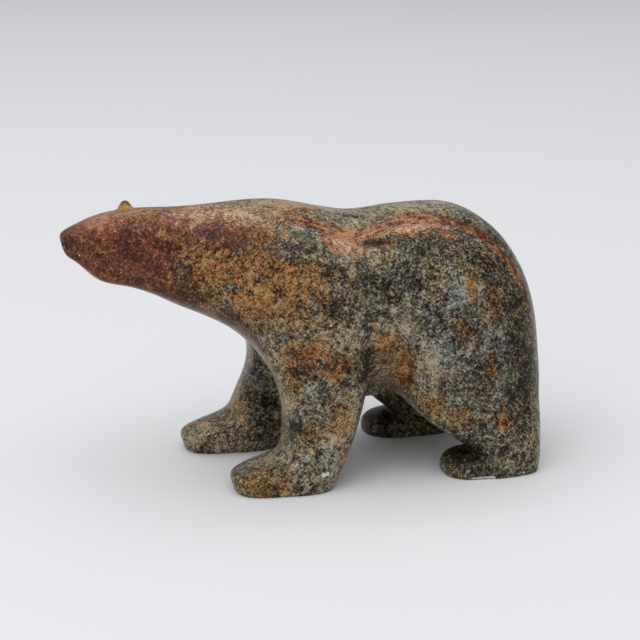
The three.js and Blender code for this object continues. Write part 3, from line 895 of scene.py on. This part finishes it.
class Wire:
    """A socket in the stone's node tree. Arithmetic on wires adds Math nodes."""

    def __init__(self, tree, socket=None):
        self.tree = tree
        self.socket = socket

    def node(self, kind, settings, sockets, outlet=0):
        """Adds a node of any kind: its settings first, then a value or a wire for each socket."""
        made = self.tree.nodes.new("ShaderNode" + kind)
        for name, value in settings.items():
            setattr(made, name, value)
        for name, value in sockets.items():
            if isinstance(value, Wire):
                self.tree.links.new(value.socket, made.inputs[name])
            else:
                made.inputs[name].default_value = value
        return Wire(self.tree, made.outputs[outlet])

    def maths(self, operation, first, second):
        return self.node("Math", {"operation": operation}, {0: first, 1: second})

    def __add__(self, other):
        return self.maths("ADD", self, other)

    def __radd__(self, other):
        return self.maths("ADD", other, self)

    def __sub__(self, other):
        return self.maths("SUBTRACT", self, other)

    def __rsub__(self, other):
        return self.maths("SUBTRACT", other, self)

    def __mul__(self, other):
        return self.maths("MULTIPLY", self, other)

    def __rmul__(self, other):
        return self.maths("MULTIPLY", other, self)

    def lower(self, other):
        """The lower of two values."""
        return self.maths("MINIMUM", self, other)

    def higher(self, other):
        """The higher of two values."""
        return self.maths("MAXIMUM", self, other)

    def clamped(self):
        """Kept between 0 and 1."""
        return self.node("Clamp", {}, {"Value": self})

    def step(self, low, high):
        """Rises smoothly from 0 at low to 1 at high."""
        sockets = {"Value": self, "From Min": low, "From Max": high}
        return self.node("MapRange", {"interpolation_type": "SMOOTHSTEP"}, sockets)

    def mixed(self, first, second):
        """A colour between two colours, by this share."""
        return self.node("Mix", {"data_type": "RGBA"}, {0: self, 6: first, 7: second}, outlet=2)

    def vector(self, operation, other, outlet=0):
        """Vector maths on this place and another."""
        return self.node("VectorMath", {"operation": operation}, {0: self, 1: other}, outlet)

    def noise(self, size, detail, roughness, warp=0.0):
        """Noise at this place, level about zero."""
        sockets = {
            "Vector": self,
            "Scale": 1 / size,
            "Detail": detail,
            "Roughness": roughness,
            "Distortion": warp,
        }
        return self.node("TexNoise", {}, sockets) - 0.5


def stone_noises(place, seam, grain):
    """Every noise that the stone is mixed from, by name."""
    noises = {}
    for name, (shift, size, detail, roughness, warp) in NOISES.items():
        noises[name] = place.vector("ADD", shift).noise(size, detail, roughness, warp)
    in_grains = place.node("VectorMath", {"operation": "SCALE"}, {0: place, "Scale": 1 / grain})
    noises["grains"] = in_grains.vector("ADD", GRAIN_SHIFT).noise(**GRAIN_NOISE)
    for name, degrees in WHISKER_TURNS.items():
        turn = (0, math.radians(degrees), 0)
        sockets = {"Vector": in_grains, "Rotation": turn, "Scale": (WHISKER_STRETCH, 1, 1)}
        turned = place.node("Mapping", {"vector_type": "TEXTURE"}, sockets)
        noises[name] = turned.noise(**WHISKER_NOISE)
    noises["whiskers"] = noises["rising"].higher(noises["falling"]) - WHISKER_LEVEL
    noises["streaks"] = seam.vector("MULTIPLY", STREAK_SQUEEZE).noise(**STREAK_NOISE)
    return noises


def summed(noises, weights):
    """The sum of noises, each with its own weight."""
    return sum(weight * noises[name] for name, weight in weights.items())


def chosen(level, noises, choice):
    """The share of a choice where its level, broken up by noises, passes the choice's edge."""
    weights, edge = choice
    return (level + summed(noises, weights)).step(*edge)


def ramp(tone, palette):
    """A colour out of four, from the darkest to the palest as the tone rises."""
    colour = palette[0]
    for paler, edge in zip(palette[1:], RAMP_STEPS):
        colour = tone.step(*edge).mixed(colour, paler)
    return colour


def mineral_colour(hues, shares, noises):
    """The colour of the stone without its marks: grey stone, then each other mineral over it."""
    picked = {name: chosen(shares[name], noises, choice) for name, choice in MINERALS.items()}
    calm = 1 - CALM * picked["red"].higher(picked["gold"])
    # The tone zones bring the stone's lighter and darker parts, and also painted shade in creases, hollows
    # and on sides turned from the light, and painted highlights on the head, back and ridge.
    tone = TONE_LEVEL + shares["tone"] + summed(noises, BROAD_TONE) + calm * summed(noises, FINE_TONE)

    warm_grey = chosen(0 - shares["blue"], noises, WARM_GREY)
    grey_middle = warm_grey.mixed(hues["blue_grey"], hues["grey_green"])
    grey_light = warm_grey.mixed(hues["silver"], hues["pale"])
    gold_middle = chosen(0, noises, ORANGE_GOLD).mixed(hues["ochre"], hues["orange"])
    red_dark = chosen(0, noises, RUSTY_RED).mixed(hues["plum"], hues["rust"])
    palettes = {
        "red": (hues["wine"], red_dark, hues["mauve"], hues["rose"]),
        "gold": (hues["black"], hues["umber"], gold_middle, hues["straw"]),
        "pink": (hues["maroon"], hues["mauve"], hues["rose"], hues["cream"]),
        "vein": (hues["wine"], hues["maroon"], hues["clay"], hues["rose"]),
    }
    colour = ramp(tone, (hues["black"], hues["slate"], grey_middle, grey_light))
    for name, palette in palettes.items():
        mineral_tone = tone - DARKER_BY[name]
        if name == "vein":
            mineral_tone = mineral_tone + STREAK_TONE * noises["streaks"]
        colour = picked[name].mixed(colour, ramp(mineral_tone, palette))
    return colour


def nearest_spot(place, spots):
    """Distance to the nearest of some spots, in radii of each."""
    gaps = [place.vector("DISTANCE", middle, outlet=1) * (1 / radius) for middle, radius in spots]
    return functools.reduce(Wire.lower, gaps)


def nearest_line(place, lines):
    """Distance to the nearest of some straight lines."""
    gaps = []
    for begin, end in lines:
        way = np.array(end) - np.array(begin)
        from_begin = place.vector("SUBTRACT", begin)
        along = from_begin.vector("DOT_PRODUCT", tuple(way / (way @ way)), outlet=1).clamped()
        foot = place.node("VectorMath", {"operation": "SCALE"}, {0: tuple(way), "Scale": along})
        gaps.append(from_begin.vector("DISTANCE", foot, outlet=1))
    return functools.reduce(Wire.lower, gaps)


def stone_material(finish):
    """Mottled soapstone.

    One tone, from noise at the size of patches, clots, whiskers and grains, and from the piece's tone
    zones, which hold painted shade and painted highlights too, runs through the colours of each mineral
    from its darkest to its palest. The piece's own shares, broken up by the same noises, choose the
    mineral.
    """
    material = bpy.data.materials.new("mottled_soapstone")
    material.use_nodes = True
    tree = material.node_tree
    tree.nodes.clear()
    start = Wire(tree)

    def attribute(name, outlet):
        return start.node("Attribute", {"attribute_name": name}, {}, outlet)

    place = start.node("TexCoord", {}, {}, outlet=3)
    place = start.node("VectorMath", {"operation": "SCALE"}, {0: place, "Scale": 1 / MM})
    seam = attribute("seam", outlet=1)
    shares = {name: attribute(name, outlet=2) for name in ZONES}
    shares["vein"] = start.node("SeparateXYZ", {}, {0: seam}, outlet=2)
    noises = stone_noises(place, seam, finish.grain / MM)
    hues = {name: (*getattr(finish, name), 1.0) for name in STONE_COLOURS}
    colour = mineral_colour(hues, shares, noises)

    wobble = start.node("TexNoise", {}, {"Vector": place, **WOBBLE}, outlet=1)
    wavy = place.vector("ADD", wobble.vector("SUBTRACT", (0.5, 0.5, 0.5)))
    dark_spots = 1 - nearest_spot(wavy, DARK_SPOTS).step(*DARK_SPOT_EDGE)
    cracks = 1 - nearest_line(wavy, CRACKS).step(*CRACK_EDGE)
    white_spots = 1 - nearest_spot(wavy, WHITE_SPOTS).step(*WHITE_SPOT_EDGE)
    white_lines = 1 - nearest_line(wavy, WHITE_LINES).step(*WHITE_LINE_EDGE)
    white = white_spots.higher(white_lines)
    colour = (DARK_SPOT_STRENGTH * dark_spots).mixed(colour, hues["black"])
    colour = (CRACK_STRENGTH * cracks).mixed(colour, hues["black"])
    colour = (WHITE_STRENGTH * white).mixed(colour, hues["white"])

    roughness = finish.polish + PATCH_ROUGHNESS * noises["patches"] + WHITE_ROUGHNESS * white
    height = noises["grains"] + noises["whiskers"]
    bumps = start.node("Bump", {}, {**GRAIN_BUMP, "Height": height})
    sockets = {
        "Base Color": colour,
        "Roughness": roughness,
        "Normal": bumps,
        "Specular IOR Level": finish.sheen,
    }
    skin_shader = start.node("BsdfPrincipled", {}, sockets)
    output = tree.nodes.new("ShaderNodeOutputMaterial")
    tree.links.new(skin_shader.socket, output.inputs["Surface"])
    return material


# Pieces


def new_object(name, points, faces, material):
    """A smooth mesh object at the origin, from points in metres and four-sided faces."""
    mesh = bpy.data.meshes.new(name)
    mesh.vertices.add(len(points))
    mesh.vertices.foreach_set("co", points.astype(np.float32).ravel())
    mesh.loops.add(faces.size)
    mesh.loops.foreach_set("vertex_index", faces.astype(np.int32).ravel())
    mesh.polygons.add(len(faces))
    mesh.polygons.foreach_set("loop_start", np.arange(len(faces), dtype=np.int32) * faces.shape[1])
    mesh.update(calc_edges=True)
    mesh.validate()
    mesh.shade_smooth()
    mesh.materials.append(material)
    piece = bpy.data.objects.new(name, mesh)
    bpy.context.scene.collection.objects.link(piece)
    return piece


class BEAR_OT_carving(bpy.types.Operator):
    """Carve the bear, with its fine relief, and give it the mottled stone"""

    bl_idname = "bear.carving"
    bl_label = "Carve Bear"

    def execute(self, context):
        form = context.scene.bear_form

        def field(x, y, z):
            return bear(x, y, z, form)

        axes = [lattice_axis(stretches, form.skin_step / MM) for stretches in LATTICE]
        points, faces = skin(field, axes)
        points = settle(field, points)
        slope = slope_of(field, points)
        outward = slope / np.linalg.norm(slope, axis=1, keepdims=True)
        points = points - BOX_MIDDLE
        zones = {name: zone_share(points, minerals) for name, minerals in ZONES.items()}
        seam = seam_place(points)
        points = points - relief(points, form)[:, None] * outward
        points[:, 2] = np.maximum(points[:, 2], 0)

        piece = new_object("stone_bear", points * MM, faces, stone_material(context.scene.stone_finish))
        for name, values in zones.items():
            layer = piece.data.attributes.new(name, "FLOAT", "POINT")
            layer.data.foreach_set("value", values.astype(np.float32))
        layer = piece.data.attributes.new("seam", "FLOAT_VECTOR", "POINT")
        layer.data.foreach_set("vector", seam.astype(np.float32).ravel())
        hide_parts(CARVING_NODE)
        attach(piece, BODY)
        return {"FINISHED"}


class BEAR_OT_studio(bpy.types.Operator):
    """Lay the pale floor and set up the soft light and the camera"""

    bl_idname = "bear.studio"
    bl_label = "Set Up Studio"

    def execute(self, context):
        scene = context.scene
        studio = scene.bear_studio
        scene.view_settings.view_transform = "Standard"

        corners = FLOOR_HALF * np.array([(-1, -1, 0), (1, -1, 0), (1, 1, 0), (-1, 1, 0)])
        paint = bpy.data.materials.new("pale_floor")
        paint.use_nodes = True
        surface = paint.node_tree.nodes["Principled BSDF"]
        surface.inputs["Base Color"].default_value = (*studio.floor_colour, 1.0)
        surface.inputs["Roughness"].default_value = FLOOR_ROUGHNESS
        surface.inputs["Specular IOR Level"].default_value = FLOOR_SHEEN
        floor = new_object("studio_floor", corners, np.array([[0, 1, 2, 3]]), paint)

        world = bpy.data.worlds.new("studio_air")
        world.use_nodes = True
        air = world.node_tree.nodes["Background"]
        air.inputs["Color"].default_value = AIR_COLOUR
        air.inputs["Strength"].default_value = AIR_STRENGTH
        scene.world = world

        for name, (place, width, power) in SOFTBOXES.items():
            self.softbox(name, place, width, power)

        azimuth, elevation = studio.azimuth, studio.elevation
        back = np.array((
            math.sin(azimuth) * math.cos(elevation),
            -math.cos(azimuth) * math.cos(elevation),
            math.sin(elevation),
        ))
        camera = bpy.data.objects.new("camera", bpy.data.cameras.new("camera"))
        camera.location = np.array(studio.target) + studio.distance * back
        camera.rotation_euler = (math.pi / 2 - elevation, 0, azimuth)
        camera.data.lens = studio.lens
        camera.data.sensor_width = SENSOR_WIDTH
        camera.data.clip_start = CLIP_START
        scene.collection.objects.link(camera)
        scene.camera = camera
        return {"FINISHED"}

    def softbox(self, name, place, width, power):
        """A square soft light that faces the bear."""
        light = bpy.data.lights.new(name, "AREA")
        light.size = width
        light.energy = power
        box = bpy.data.objects.new(name, light)
        box.location = place
        x, y, z = place
        box.rotation_euler = (math.atan2(math.hypot(x, y), z - SOFTBOX_AIM), 0, math.atan2(x, -y))
        bpy.context.scene.collection.objects.link(box)


class VIEW3D_PT_bear(bpy.types.Panel):
    """Sizes, colours and steps of the carving"""

    bl_label = "Soapstone Bear"
    bl_space_type = "VIEW_3D"
    bl_region_type = "UI"
    bl_category = "Bear"

    def draw(self, context):
        scene = context.scene
        for group, operator in (
            (scene.bear_form, BEAR_OT_carving),
            (scene.stone_finish, None),
            (scene.bear_studio, BEAR_OT_studio),
        ):
            column = self.layout.column()
            for name in group.__annotations__:
                column.prop(group, name)
            if operator:
                column.operator(operator.bl_idname)


GROUPS = {"bear_form": BearForm, "stone_finish": StoneFinish, "bear_studio": StudioSetup}
CLASSES = (*GROUPS.values(), BEAR_OT_carving, BEAR_OT_studio, VIEW3D_PT_bear)


def register():
    for item in CLASSES:
        bpy.utils.register_class(item)
    for name, group in GROUPS.items():
        setattr(bpy.types.Scene, name, bpy.props.PointerProperty(type=group))


def unregister():
    for name in GROUPS:
        delattr(bpy.types.Scene, name)
    for item in reversed(CLASSES):
        bpy.utils.unregister_class(item)


def main():
    register()
    bpy.ops.bear.studio()
    bpy.ops.bear.carving()


if __name__ == "__main__":
    main()
